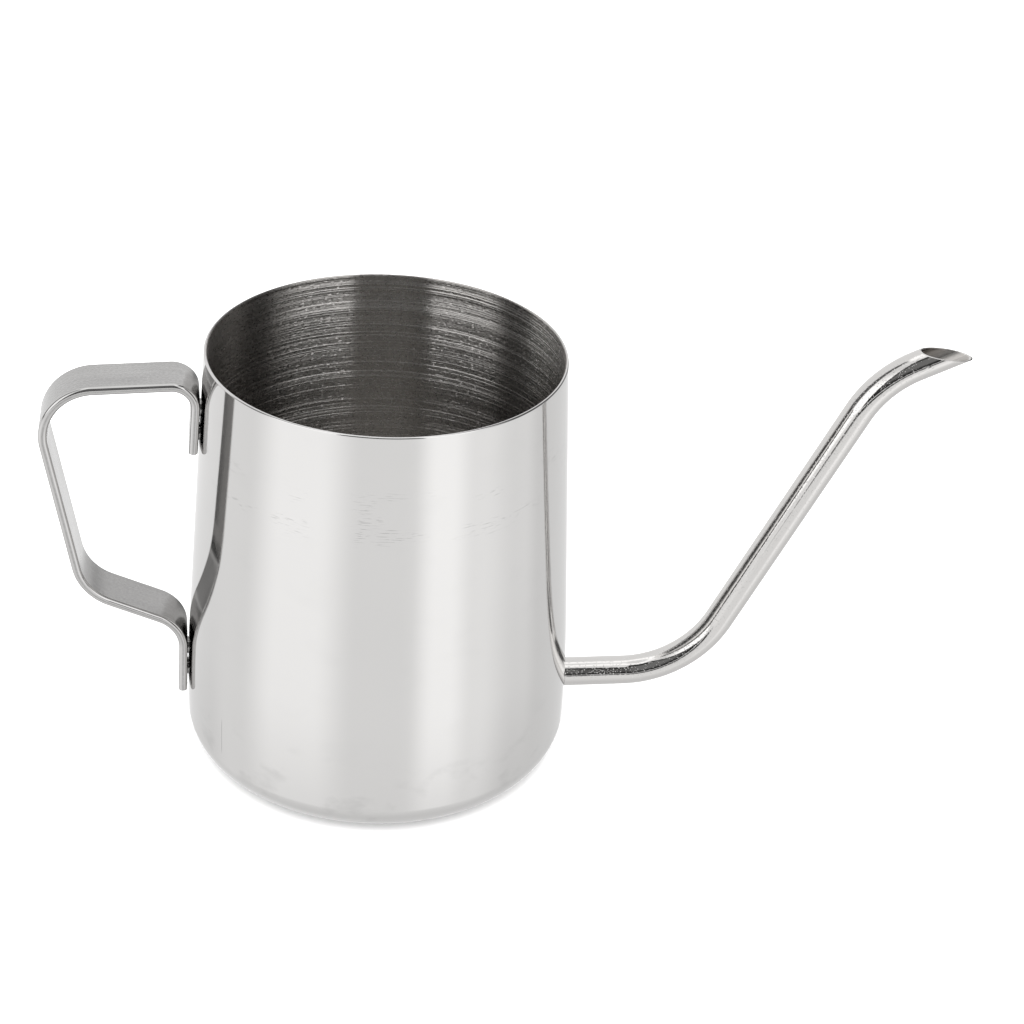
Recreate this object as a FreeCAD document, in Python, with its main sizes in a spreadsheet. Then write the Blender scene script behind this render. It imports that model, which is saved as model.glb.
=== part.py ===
import FreeCAD, Part
import math
import os

import Sketcher
from FreeCAD import Vector

# Gooseneck drip kettle: an open, slightly tapered cup drawn from thin stainless sheet, a bent tube
# for its long low spout, and one bent flat strip for its handle, all joined by welds.
# Frame: the origin is the centre of the base on the resting plane, +Z is up, the spout points
# along +X and the handle along -X. Lengths are in millimetres and angles in degrees.

DIMENSIONS = [
    # cup
    ("body_height", 100.0),
    ("base_radius", 45.2),
    ("sheet", 0.7),
    ("wall_taper", 3.7),
    ("belly_radius", 400.0),
    ("base_corner_radius", 7.0),
    ("recess_radius", 30.0),
    ("recess_depth", 0.8),
    # spout
    ("tube_radius", 3.5),
    ("tube_wall", 0.5),
    ("spout_height", 11.6),
    ("root_reach", 43.9),
    ("first_bend_reach", 60.5),
    ("spout_bend_radius", 25.0),
    ("riser_angle", 64.7),
    ("riser_length", 62.7),
    ("tip_angle", 24.4),
    ("tip_length", 7.0),
    ("tip_cut_angle", 31.6),
    ("hole_clearance", 0.05),
    ("bead_leg", 0.3),
    # handle
    ("strap_width", 12.0),
    ("strap_thickness", 2.0),
    ("strap_edge_radius", 0.8),
    ("strap_end_radius", 0.3),
    ("stand_off", 0.2),
    ("upper_tab_bottom", 77.4),
    ("upper_tab_length", 11.1),
    ("upper_tab_bend", 5.1),
    ("top_arm_length", 16.5),
    ("top_arm_slope", 2.1),
    ("top_bend", 11.6),
    ("grip_length", 32.0),
    ("grip_lean", 9.7),
    ("bottom_bend", 12.4),
    ("lower_arm_slope", 24.3),
    ("lower_tab_bend", 8.8),
    ("lower_tab_lean", 1.7),
    ("lower_tab_bottom", 13.7),
    # spot welds between the handle's tabs and the wall
    ("spot_radius", 2.0),
    ("spot_spacing", 6.0),
    ("upper_spot_height", 80.3),
    ("lower_spot_height", 16.9),
]

doc = FreeCAD.newDocument("gooseneck_kettle")


def make_sheet():
    """Puts the driving dimensions in a spreadsheet, one aliased cell each."""
    table = doc.addObject("Spreadsheet::Sheet", "Sheet")
    for row, (alias, value) in enumerate(DIMENSIONS, start=1):
        table.set(f"A{row}", alias)
        table.set(f"B{row}", str(value))
        table.setAlias(f"B{row}", alias)
    doc.recompute()
    return table


sheet = make_sheet()


def size(alias):
    return float(getattr(sheet, alias))


# ---------------------------------------------------------------- sketch helpers


def origin_plane(body, role):
    return next(plane for plane in body.Origin.OriginFeatures if plane.Role == role)


def new_body(label):
    body = doc.addObject("PartDesign::Body", label)
    body.Label = label
    return body


def new_sketch(body, name, role):
    sketch = body.newObject("Sketcher::SketchObject", name)
    sketch.AttachmentSupport = [(origin_plane(body, role), "")]
    sketch.MapMode = "FlatFace"
    return sketch


def bind(sketch, constraint, expression):
    """Adds a dimension to the sketch and ties its value to the spreadsheet."""
    index = sketch.addConstraint(constraint)
    sketch.setExpression(f"Constraints[{index}]", expression)


UP = Vector(0, 0, 1)


def direction(degrees):
    return Vector(math.cos(math.radians(degrees)), math.sin(math.radians(degrees)), 0)


# How a sketch constraint names the points of a line or arc, and the sketch's own origin and axes.
START, END, CENTRE = 1, 2, 3
ORIGIN = (-1, 1)
ALONG_X, ALONG_Y = -1, -2

# Length of the straight tube that the slanting cut removes, and half the cut's width, in radii.
TIP_OVERRUN = 3
CUTTER_REACH = 8


class Route:
    """A sketched line that turns through tangent arcs: straight, bend, straight, bend, straight."""

    def __init__(self, sketch, start, headings, lengths, radii):
        self.sketch = sketch
        self.lines = []
        self.arcs = []
        here = start
        for step, (heading, length) in enumerate(zip(headings, lengths)):
            there = here + direction(heading) * length
            self.lines.append(sketch.addGeometry(Part.LineSegment(here, there)))
            here = there
            if step < len(radii):
                here = self.add_bend(here, heading, headings[step + 1], radii[step])
        self.join()

    def add_bend(self, here, heading, next_heading, radius):
        turn = (next_heading - heading + 180) % 360 - 180
        side = 1 if turn > 0 else -1
        centre = here + direction(heading + 90 * side) * radius
        first = heading - 90 * side
        last = first + turn
        low, high = sorted((first, last))
        circle = Part.Circle(centre, UP, radius)
        arc = Part.ArcOfCircle(circle, math.radians(low), math.radians(high))
        self.arcs.append((self.sketch.addGeometry(arc), side))
        return centre + direction(last) * radius

    def join(self):
        for step, (arc, side) in enumerate(self.arcs):
            entry, leave = (START, END) if side > 0 else (END, START)
            before = self.lines[step]
            after = self.lines[step + 1]
            self.sketch.addConstraint(Sketcher.Constraint("Tangent", before, END, arc, entry))
            self.sketch.addConstraint(Sketcher.Constraint("Tangent", arc, leave, after, START))

    def bind_length(self, step, expression):
        line = self.lines[step]
        value = self.sketch.Geometry[line].length()
        bind(self.sketch, Sketcher.Constraint("Distance", line, value), expression)

    def bind_heading(self, step, degrees, expression):
        angle = Sketcher.Constraint("Angle", self.lines[step], math.radians(degrees))
        bind(self.sketch, angle, expression)

    def bind_radius(self, step, radius, expression):
        bind(self.sketch, Sketcher.Constraint("Radius", self.arcs[step][0], radius), expression)

    def bind_point(self, step, end, axis, value, expression):
        place = Sketcher.Constraint(axis, *ORIGIN, self.lines[step], end, value)
        bind(self.sketch, place, expression)


def add_circle(sketch, radius, expression, height=None, height_expression=None):
    """A circle centred on the sketch's vertical axis, at the origin or at a bound height."""
    centre = Vector(0, height or 0, 0)
    circle = sketch.addGeometry(Part.Circle(centre, UP, radius))
    if height is None:
        sketch.addConstraint(Sketcher.Constraint("Coincident", circle, CENTRE, *ORIGIN))
    else:
        sketch.addConstraint(Sketcher.Constraint("PointOnObject", circle, CENTRE, ALONG_Y))
        bind(
            sketch,
            Sketcher.Constraint("DistanceY", *ORIGIN, circle, CENTRE, height),
            height_expression,
        )
    bind(sketch, Sketcher.Constraint("Radius", circle, radius), expression)


# ---------------------------------------------------------------- places on the wall
# The outer wall is a straight cone above the belly arc. Both are fixed by the belly arc's centre,
# which lies at the height where the base corner ends.

BELLY_X = "(Sheet.base_radius - Sheet.belly_radius)"
BELLY_Z = "Sheet.base_corner_radius"


def wall_reach(height, lean, proud):
    """Radius at a height of the tangent to the belly arc that leans inward, standing proud."""
    centre_x = size("base_radius") - size("belly_radius")
    rise = height - size("base_corner_radius")
    angle = math.radians(lean)
    reach = size("belly_radius") + proud - rise * math.sin(angle)
    return centre_x + reach / math.cos(angle)


def wall_reach_expression(height, lean, proud):
    """The same radius as a spreadsheet expression."""
    reach = f"(Sheet.belly_radius + {proud} - ({height} - {BELLY_Z}) * sin({lean}))"
    return f"{BELLY_X} + {reach} / cos({lean})"


# ---------------------------------------------------------------- cup


def lip_centre():
    """Centre of the rounded lip, in the middle of the sheet."""
    half = size("sheet") / 2
    top = size("body_height") - half
    return Vector(wall_reach(top, size("wall_taper"), -half), top, 0)


def add_skin(sketch, offset):
    """One side of the sheet, from the axis out along the base and up to the lip.

    The offset is 0 for the outer side and the sheet's thickness for the inner side."""
    corner_radius = size("base_corner_radius") - offset
    belly_radius = size("belly_radius") - offset
    corner = Vector(size("base_radius") - size("base_corner_radius"), size("base_corner_radius"), 0)
    belly = Vector(size("base_radius") - size("belly_radius"), corner.y, 0)
    middle = Vector(0, size("recess_depth") + offset, 0)
    recess_edge = Vector(size("recess_radius") - size("recess_depth"), middle.y, 0)
    ring_start = Vector(size("recess_radius"), offset, 0)
    ring_end = Vector(corner.x, offset, 0)
    outward = direction(size("wall_taper"))
    wall_start = belly + outward * belly_radius
    wall_end = lip_centre() + outward * (size("sheet") / 2 - offset)
    taper = math.radians(size("wall_taper"))
    corner_arc = Part.ArcOfCircle(Part.Circle(corner, UP, corner_radius), -math.pi / 2, 0)
    belly_arc = Part.ArcOfCircle(Part.Circle(belly, UP, belly_radius), 0, taper)
    return [
        sketch.addGeometry(Part.LineSegment(middle, recess_edge)),
        sketch.addGeometry(Part.LineSegment(recess_edge, ring_start)),
        sketch.addGeometry(Part.LineSegment(ring_start, ring_end)),
        sketch.addGeometry(corner_arc),
        sketch.addGeometry(belly_arc),
        sketch.addGeometry(Part.LineSegment(wall_start, wall_end)),
    ]


def constrain_skin(sketch, skin, offset):
    """Ties one side of the sheet to the spreadsheet; the offset is an expression."""
    middle, slope, ring, corner, belly, wall = skin
    add = sketch.addConstraint
    add(Sketcher.Constraint("PointOnObject", middle, START, ALONG_Y))
    add(Sketcher.Constraint("Horizontal", middle))
    add(Sketcher.Constraint("Coincident", middle, END, slope, START))
    add(Sketcher.Constraint("Coincident", slope, END, ring, START))
    add(Sketcher.Constraint("Horizontal", ring))
    add(Sketcher.Constraint("Tangent", ring, END, corner, START))
    add(Sketcher.Constraint("Tangent", corner, END, belly, START))
    add(Sketcher.Constraint("Tangent", belly, END, wall, START))
    for axis, line, expression in (
        ("DistanceY", middle, f"Sheet.recess_depth + {offset}"),
        ("DistanceX", slope, "Sheet.recess_radius - Sheet.recess_depth"),
        ("DistanceX", ring, "Sheet.recess_radius"),
    ):
        point = sketch.getPoint(line, START)
        value = point.x if axis == "DistanceX" else point.y
        bind(sketch, Sketcher.Constraint(axis, *ORIGIN, line, START, value), expression)


def tie_skins(sketch, outer, inner):
    """Sizes the arcs, keeps both sides concentric and closes the section at axis and rim."""
    add = sketch.addConstraint
    corner, belly, wall = outer[3:]
    inner_corner, inner_belly, inner_wall = inner[3:]
    add(Sketcher.Constraint("PointOnObject", outer[2], START, ALONG_X))
    add(Sketcher.Constraint("Coincident", inner_corner, CENTRE, corner, CENTRE))
    add(Sketcher.Constraint("Coincident", inner_belly, CENTRE, belly, CENTRE))
    add(Sketcher.Constraint("Horizontal", belly, CENTRE, corner, CENTRE))
    bind(
        sketch,
        Sketcher.Constraint("Radius", corner, size("base_corner_radius")),
        "Sheet.base_corner_radius",
    )
    bind(
        sketch,
        Sketcher.Constraint("Radius", inner_corner, size("base_corner_radius") - size("sheet")),
        "Sheet.base_corner_radius - Sheet.sheet",
    )
    bind(
        sketch,
        Sketcher.Constraint("Radius", belly, size("belly_radius")),
        "Sheet.belly_radius",
    )
    bind(
        sketch,
        Sketcher.Constraint("DistanceX", *ORIGIN, corner, END, size("base_radius")),
        "Sheet.base_radius",
    )
    lean = math.radians(90 + size("wall_taper"))
    bind(sketch, Sketcher.Constraint("Angle", wall, lean), "90 + Sheet.wall_taper")
    add(Sketcher.Constraint("Parallel", inner_wall, wall))


def close_rim(sketch, outer, inner):
    """Rounds the lip with a half circle whose top is at the cup's height."""
    centre = lip_centre()
    taper = math.radians(size("wall_taper"))
    circle = Part.Circle(centre, UP, size("sheet") / 2)
    lip = sketch.addGeometry(Part.ArcOfCircle(circle, taper, taper + math.pi))
    sketch.addConstraint(Sketcher.Constraint("Tangent", outer[5], END, lip, START))
    sketch.addConstraint(Sketcher.Constraint("Tangent", lip, END, inner[5], END))
    bind(
        sketch,
        Sketcher.Constraint("DistanceY", *ORIGIN, lip, CENTRE, centre.y),
        "Sheet.body_height - Sheet.sheet / 2",
    )


def close_axis(sketch, outer, inner):
    """Joins the two sides of the floor with a short line on the axis."""
    low = sketch.getPoint(outer[0], START)
    high = sketch.getPoint(inner[0], START)
    axis_line = sketch.addGeometry(Part.LineSegment(low, high))
    sketch.addConstraint(Sketcher.Constraint("Coincident", axis_line, START, outer[0], START))
    sketch.addConstraint(Sketcher.Constraint("Coincident", axis_line, END, inner[0], START))


def make_cup():
    """Drawn cup with a rounded lip, a shallow stamped recess in its base and the spout's hole."""
    body = new_body("kettle_body")
    section = new_sketch(body, "cup_section", "XZ_Plane")
    outer = add_skin(section, 0)
    inner = add_skin(section, size("sheet"))
    constrain_skin(section, outer, "0")
    constrain_skin(section, inner, "Sheet.sheet")
    tie_skins(section, outer, inner)
    close_rim(section, outer, inner)
    close_axis(section, outer, inner)
    doc.recompute()

    shell = body.newObject("PartDesign::Revolution", "cup_shell")
    shell.Profile = section
    shell.ReferenceAxis = (section, ["V_Axis"])
    shell.Angle = 360
    doc.recompute()
    plain_volume = shell.Shape.Volume

    opening = new_sketch(body, "spout_hole_outline", "YZ_Plane")
    add_circle(
        opening,
        size("tube_radius") + size("hole_clearance"),
        "Sheet.tube_radius + Sheet.hole_clearance",
        size("spout_height"),
        "Sheet.spout_height",
    )
    hole = body.newObject("PartDesign::Pocket", "spout_hole")
    hole.Profile = opening
    hole.Reversed = True
    hole.setExpression("Length", "Sheet.base_radius + Sheet.sheet")
    doc.recompute()
    removed = plain_volume - hole.Shape.Volume
    disc = math.pi * size("tube_radius") ** 2 * size("sheet")
    if not 0.9 * disc < removed < 1.3 * disc:
        raise ValueError(f"the spout hole removed {removed:.2f} mm3, not about {disc:.2f}")
    return body


# ---------------------------------------------------------------- spout


def make_spout_route(body):
    """Centre line: level root, first bend, straight riser, second bend, short tip."""
    sketch = new_sketch(body, "spout_route", "XZ_Plane")
    root = size("root_reach")
    overrun = TIP_OVERRUN * size("tube_radius")
    route = Route(
        sketch,
        Vector(root, size("spout_height"), 0),
        [0, size("riser_angle"), size("tip_angle")],
        [size("first_bend_reach") - root, size("riser_length"), size("tip_length") + overrun],
        [size("spout_bend_radius")] * 2,
    )
    route.bind_point(0, START, "DistanceX", root, "Sheet.root_reach")
    route.bind_point(0, START, "DistanceY", size("spout_height"), "Sheet.spout_height")
    route.bind_point(0, END, "DistanceX", size("first_bend_reach"), "Sheet.first_bend_reach")
    sketch.addConstraint(Sketcher.Constraint("Horizontal", route.lines[0]))
    route.bind_heading(1, size("riser_angle"), "Sheet.riser_angle")
    route.bind_heading(2, size("tip_angle"), "Sheet.tip_angle")
    route.bind_length(1, "Sheet.riser_length")
    route.bind_length(2, f"Sheet.tip_length + {TIP_OVERRUN} * Sheet.tube_radius")
    for bend in range(2):
        route.bind_radius(bend, size("spout_bend_radius"), "Sheet.spout_bend_radius")
    doc.recompute()
    return sketch, route


def make_tip_cutter(sketch, route):
    """Triangle above the slanting mouth, whose long side crosses the centre line."""
    reach = CUTTER_REACH * size("tube_radius")
    cut_heading = size("tip_angle") - size("tip_cut_angle")
    tip_start = route.sketch.getPoint(route.lines[2], START)
    crossing = tip_start + direction(size("tip_angle")) * size("tip_length")
    low = crossing - direction(cut_heading) * reach
    high = crossing + direction(cut_heading) * reach
    apex = crossing + direction(cut_heading + 90) * reach
    slant = sketch.addGeometry(Part.LineSegment(low, high))
    far_side = sketch.addGeometry(Part.LineSegment(high, apex))
    near_side = sketch.addGeometry(Part.LineSegment(apex, low))
    add = sketch.addConstraint
    add(Sketcher.Constraint("Coincident", slant, END, far_side, START))
    add(Sketcher.Constraint("Coincident", far_side, END, near_side, START))
    add(Sketcher.Constraint("Coincident", near_side, END, slant, START))
    add(Sketcher.Constraint("Equal", far_side, near_side))
    add(Sketcher.Constraint("Perpendicular", far_side, near_side))
    slope = Sketcher.Constraint("Angle", slant, math.radians(cut_heading))
    bind(sketch, slope, "Sheet.tip_angle - Sheet.tip_cut_angle")
    length = Sketcher.Constraint("Distance", slant, 2 * reach)
    bind(sketch, length, f"2 * {CUTTER_REACH} * Sheet.tube_radius")

    riser, bend, tip = "Sheet.riser_angle", "Sheet.spout_bend_radius", "Sheet.tip_angle"
    cut = "(Sheet.tip_angle - Sheet.tip_cut_angle)"
    # The crossing follows the centre line: first bend, riser, second bend, tip.
    across = (
        f"Sheet.first_bend_reach + {bend} * sin({riser}) + Sheet.riser_length * cos({riser})"
        f" + {bend} * (sin({riser}) - sin({tip})) + Sheet.tip_length * cos({tip})"
        f" - {CUTTER_REACH} * Sheet.tube_radius * cos({cut})"
    )
    above = (
        f"Sheet.spout_height + {bend} * (1 - cos({riser})) + Sheet.riser_length * sin({riser})"
        f" + {bend} * (cos({tip}) - cos({riser})) + Sheet.tip_length * sin({tip})"
        f" - {CUTTER_REACH} * Sheet.tube_radius * sin({cut})"
    )
    bind(sketch, Sketcher.Constraint("DistanceX", *ORIGIN, slant, START, low.x), across)
    bind(sketch, Sketcher.Constraint("DistanceY", *ORIGIN, slant, START, low.y), above)


def make_spout():
    """Thin tube bent twice in one plane, its tip cut on a slant so that it pours like a beak."""
    body = new_body("spout_tube")
    path, route = make_spout_route(body)
    ring = new_sketch(body, "tube_section", "YZ_Plane")
    ring.setExpression("AttachmentOffset.Base.z", "Sheet.root_reach")
    ring.setExpression("AttachmentOffset.Base.y", "Sheet.spout_height")
    add_circle(ring, size("tube_radius"), "Sheet.tube_radius")
    bore = size("tube_radius") - size("tube_wall")
    add_circle(ring, bore, "Sheet.tube_radius - Sheet.tube_wall")
    doc.recompute()

    tube = body.newObject("PartDesign::AdditivePipe", "bent_tube")
    tube.Profile = ring
    tube.Spine = (path, [])
    doc.recompute()
    uncut_volume = tube.Shape.Volume

    mouth = new_sketch(body, "tip_cut_outline", "XZ_Plane")
    make_tip_cutter(mouth, route)
    cut = body.newObject("PartDesign::Pocket", "tip_cut")
    cut.Profile = mouth
    cut.Midplane = True
    cut.setExpression("Length", "4 * Sheet.tube_radius")
    doc.recompute()
    if cut.Shape.Volume > 0.97 * uncut_volume:
        raise ValueError("the slanting cut missed the spout's tip")
    return body


def make_spout_bead(cup):
    """Ring of weld metal in the corner between the tube and the wall."""
    blank = new_body("bead_blank")
    section = new_sketch(blank, "bead_section", "XZ_Plane")
    section.setExpression("AttachmentOffset.Base.y", "Sheet.spout_height")
    leg = size("bead_leg")
    inside = size("base_radius") - size("sheet") / 2
    outside = size("base_radius") + leg
    tube = size("tube_radius")
    toe = Vector(inside, tube + leg, 0)
    foot = Vector(size("base_radius"), tube + leg, 0)
    tip = Vector(outside, tube, 0)
    root = Vector(inside, tube, 0)
    # The bead's face is a shallow hollow arc from the wall to the tube.
    hollow = Vector(outside, tube + leg, 0)
    face_arc = Part.ArcOfCircle(Part.Circle(hollow, UP, leg), math.pi, 1.5 * math.pi)
    face = section.addGeometry(face_arc)
    flank = section.addGeometry(Part.LineSegment(toe, foot))
    base = section.addGeometry(Part.LineSegment(tip, root))
    back = section.addGeometry(Part.LineSegment(root, toe))
    add = section.addConstraint
    add(Sketcher.Constraint("Coincident", flank, END, face, START))
    add(Sketcher.Constraint("Coincident", face, END, base, START))
    add(Sketcher.Constraint("Coincident", base, END, back, START))
    add(Sketcher.Constraint("Coincident", back, END, flank, START))
    add(Sketcher.Constraint("Horizontal", flank))
    add(Sketcher.Constraint("Horizontal", base))
    add(Sketcher.Constraint("Vertical", back))
    add(Sketcher.Constraint("Vertical", face, END, face, CENTRE))
    add(Sketcher.Constraint("Horizontal", face, START, face, CENTRE))
    bind(section, Sketcher.Constraint("Radius", face, leg), "Sheet.bead_leg")
    bind(
        section,
        Sketcher.Constraint("DistanceX", *ORIGIN, face, START, size("base_radius")),
        "Sheet.base_radius",
    )
    bind(
        section,
        Sketcher.Constraint("DistanceX", *ORIGIN, back, START, inside),
        "Sheet.base_radius - Sheet.sheet / 2",
    )
    bind(
        section,
        Sketcher.Constraint("DistanceY", *ORIGIN, base, START, tube),
        "Sheet.tube_radius",
    )
    doc.recompute()
    ring = blank.newObject("PartDesign::Revolution", "bead_ring")
    ring.Profile = section
    ring.ReferenceAxis = (section, ["H_Axis"])
    ring.Angle = 360
    doc.recompute()
    return trim_to_cup(blank, cup, "spout_weld_bead")


def trim_to_cup(blank, cup, label):
    """Weld metal lies against the cup, so the cup's own shape is taken out of the blank."""
    trimmed = doc.addObject("Part::Cut", label)
    trimmed.Label = label
    trimmed.Base = blank
    trimmed.Tool = cup
    doc.recompute()
    return trimmed


# ---------------------------------------------------------------- handle

STRAP_PROUD = "(Sheet.stand_off + Sheet.strap_thickness / 2)"


def strap_headings():
    """Directions along the strip, from the foot of the upper tab round to the lower tab's foot."""
    return [
        90 - size("wall_taper"),
        size("top_arm_slope") - 180,
        size("grip_lean") - 90,
        -size("lower_arm_slope"),
        -90 - size("lower_tab_lean"),
    ]


HEADING_EXPRESSIONS = [
    "90 - Sheet.wall_taper",
    "Sheet.top_arm_slope - 180",
    "Sheet.grip_lean - 90",
    "-Sheet.lower_arm_slope",
    "-90 - Sheet.lower_tab_lean",
]

BENDS = ["upper_tab_bend", "top_bend", "bottom_bend", "lower_tab_bend"]


def route_length_to_wall(start, headings, lengths, radii, lower_x, lower_z):
    """Straight lengths of the lower arm and tab that bring the strip's end to a given point."""
    trial = walk(start, headings, lengths + [0, 0], radii)
    gap = Vector(lower_x, lower_z, 0) - trial
    arm = direction(headings[3])
    tab = direction(headings[4])
    span = arm.x * tab.y - arm.y * tab.x
    arm_length = (gap.x * tab.y - gap.y * tab.x) / span
    tab_length = (arm.x * gap.y - arm.y * gap.x) / span
    return arm_length, tab_length


def walk(start, headings, lengths, radii):
    """End point of a route of straights and tangent bends."""
    here = start
    for step, (heading, length) in enumerate(zip(headings, lengths)):
        here = here + direction(heading) * length
        if step < len(radii):
            turn = (headings[step + 1] - heading + 180) % 360 - 180
            side = 1 if turn > 0 else -1
            centre = here + direction(heading + 90 * side) * radii[step]
            here = centre + direction(heading - 90 * side + turn) * radii[step]
    return here


def make_strap_route(body):
    """Middle line of the bent strip, in the plane of the spout."""
    sketch = new_sketch(body, "strap_route", "XZ_Plane")
    proud = size("stand_off") + size("strap_thickness") / 2
    top = size("upper_tab_bottom")
    start = Vector(-wall_reach(top, size("wall_taper"), proud), top, 0)
    foot = size("lower_tab_bottom")
    lower_x = -wall_reach(foot, size("lower_tab_lean"), proud)
    headings = strap_headings()
    radii = [size(bend) for bend in BENDS]
    lengths = [size("upper_tab_length"), size("top_arm_length"), size("grip_length")]
    lengths += route_length_to_wall(start, headings, lengths, radii, lower_x, foot)
    route = Route(sketch, start, headings, lengths, radii)
    upper_reach = wall_reach_expression("Sheet.upper_tab_bottom", "Sheet.wall_taper", STRAP_PROUD)
    lower_reach = wall_reach_expression(
        "Sheet.lower_tab_bottom", "Sheet.lower_tab_lean", STRAP_PROUD
    )
    route.bind_point(0, START, "DistanceX", start.x, f"-({upper_reach})")
    route.bind_point(0, START, "DistanceY", top, "Sheet.upper_tab_bottom")
    for step, expression in enumerate(HEADING_EXPRESSIONS):
        route.bind_heading(step, headings[step], expression)
    for step, bend in enumerate(BENDS):
        route.bind_radius(step, radii[step], f"Sheet.{bend}")
    route.bind_length(0, "Sheet.upper_tab_length")
    route.bind_length(1, "Sheet.top_arm_length")
    route.bind_length(2, "Sheet.grip_length")
    route.bind_point(4, END, "DistanceX", lower_x, f"-({lower_reach})")
    route.bind_point(4, END, "DistanceY", foot, "Sheet.lower_tab_bottom")
    doc.recompute()
    return sketch, start


def add_rounded_bar(sketch):
    """Flat bar section with rounded edges, centred on the sketch's origin."""
    half_x = size("strap_thickness") / 2
    half_y = size("strap_width") / 2
    radius = size("strap_edge_radius")
    flat_x = half_x - radius
    flat_y = half_y - radius
    lines = [
        sketch.addGeometry(Part.LineSegment(Vector(-flat_x, -half_y, 0), Vector(flat_x, -half_y, 0))),
        sketch.addGeometry(Part.LineSegment(Vector(half_x, -flat_y, 0), Vector(half_x, flat_y, 0))),
        sketch.addGeometry(Part.LineSegment(Vector(flat_x, half_y, 0), Vector(-flat_x, half_y, 0))),
        sketch.addGeometry(Part.LineSegment(Vector(-half_x, flat_y, 0), Vector(-half_x, -flat_y, 0))),
    ]
    centres = [(flat_x, -flat_y), (flat_x, flat_y), (-flat_x, flat_y), (-flat_x, -flat_y)]
    corners = []
    for index, (x, y) in enumerate(centres):
        circle = Part.Circle(Vector(x, y, 0), UP, radius)
        first = (index - 1) * math.pi / 2
        arc = Part.ArcOfCircle(circle, first, first + math.pi / 2)
        corners.append(sketch.addGeometry(arc))
    for index, corner in enumerate(corners):
        before = lines[index]
        after = lines[(index + 1) % 4]
        sketch.addConstraint(Sketcher.Constraint("Tangent", before, END, corner, START))
        sketch.addConstraint(Sketcher.Constraint("Tangent", corner, END, after, START))
        bind(sketch, Sketcher.Constraint("Radius", corner, radius), "Sheet.strap_edge_radius")
    sketch.addConstraint(Sketcher.Constraint("Horizontal", lines[0]))
    sketch.addConstraint(Sketcher.Constraint("Vertical", lines[1]))
    bind(
        sketch,
        Sketcher.Constraint("DistanceX", *ORIGIN, lines[1], START, half_x),
        "Sheet.strap_thickness / 2",
    )
    bind(
        sketch,
        Sketcher.Constraint("DistanceX", lines[3], START, *ORIGIN, half_x),
        "Sheet.strap_thickness / 2",
    )
    bind(
        sketch,
        Sketcher.Constraint("DistanceY", *ORIGIN, lines[2], START, half_y),
        "Sheet.strap_width / 2",
    )
    bind(
        sketch,
        Sketcher.Constraint("DistanceY", lines[0], START, *ORIGIN, half_y),
        "Sheet.strap_width / 2",
    )


def end_edges(shape, route_points):
    """Names of the edges round the two cut ends of the strip."""
    names = []
    reach = size("strap_width") / 2 + size("strap_edge_radius")
    for number, edge in enumerate(shape.Edges, start=1):
        points = [vertex.Point for vertex in edge.Vertexes]
        for end in route_points:
            at_end = all(point.distanceToPoint(end) < reach for point in points)
            flat = all(abs(point.z - end.z) < size("strap_thickness") / 4 for point in points)
            if at_end and flat:
                names.append(f"Edge{number}")
    return names


def make_strap():
    """One flat strip with rounded edges, bent four times, with a tab at each end for welding."""
    body = new_body("handle_strap")
    path, start = make_strap_route(body)
    bar = new_sketch(body, "bar_section", "XY_Plane")
    bar.AttachmentOffset = FreeCAD.Placement(
        Vector(start.x, 0, start.y), FreeCAD.Rotation(Vector(0, 1, 0), size("wall_taper"))
    )
    reach = wall_reach_expression("Sheet.upper_tab_bottom", "Sheet.wall_taper", STRAP_PROUD)
    bar.setExpression("AttachmentOffset.Base.x", f"-({reach})")
    bar.setExpression("AttachmentOffset.Base.z", "Sheet.upper_tab_bottom")
    bar.setExpression("AttachmentOffset.Rotation.Angle", "Sheet.wall_taper")
    add_rounded_bar(bar)
    doc.recompute()

    strip = body.newObject("PartDesign::AdditivePipe", "bent_strip")
    strip.Profile = bar
    strip.Spine = (path, [])
    doc.recompute()

    proud = size("stand_off") + size("strap_thickness") / 2
    foot = size("lower_tab_bottom")
    lower_end = Vector(-wall_reach(foot, size("lower_tab_lean"), proud), 0, foot)
    upper_end = Vector(start.x, 0, start.y)
    ends = end_edges(strip.Shape, [upper_end, lower_end])
    rounding = body.newObject("PartDesign::Fillet", "end_rounding")
    rounding.Base = (strip, ends)
    rounding.setExpression("Radius", "Sheet.strap_end_radius")
    doc.recompute()
    return body


def make_spot_weld(cup, label, height, height_expression, lean, lean_alias):
    """Disc of weld metal that fills the gap between a tab and the wall."""
    blank = doc.addObject("Part::Cylinder", f"{label}_blank")
    blank.setExpression("Radius", "Sheet.spot_radius")
    blank.setExpression("Height", "Sheet.stand_off + Sheet.sheet / 2")
    reach = wall_reach(height, lean, size("stand_off"))
    tilt = FreeCAD.Rotation(Vector(0, 1, 0), 90 + lean)
    blank.Placement = FreeCAD.Placement(Vector(-reach, 0, height), tilt)
    reach_expression = wall_reach_expression(height_expression, lean_alias, "Sheet.stand_off")
    blank.setExpression("Placement.Base.x", f"-({reach_expression})")
    blank.setExpression("Placement.Base.z", height_expression)
    blank.setExpression("Placement.Rotation.Angle", f"90 + {lean_alias}")
    doc.recompute()
    return trim_to_cup(blank, cup, label)


def make_spot_welds(cup):
    tabs = [
        ("upper", "upper_spot_height", "wall_taper"),
        ("lower", "lower_spot_height", "lower_tab_lean"),
    ]
    welds = []
    for tab, height_alias, lean_alias in tabs:
        for count in range(2):
            welds.append(
                make_spot_weld(
                    cup,
                    f"{tab}_spot_weld_{count + 1}",
                    size(height_alias) + count * size("spot_spacing"),
                    f"(Sheet.{height_alias} + {count} * Sheet.spot_spacing)",
                    size(lean_alias),
                    f"Sheet.{lean_alias}",
                )
            )
    return welds


# ---------------------------------------------------------------- assembly


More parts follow.
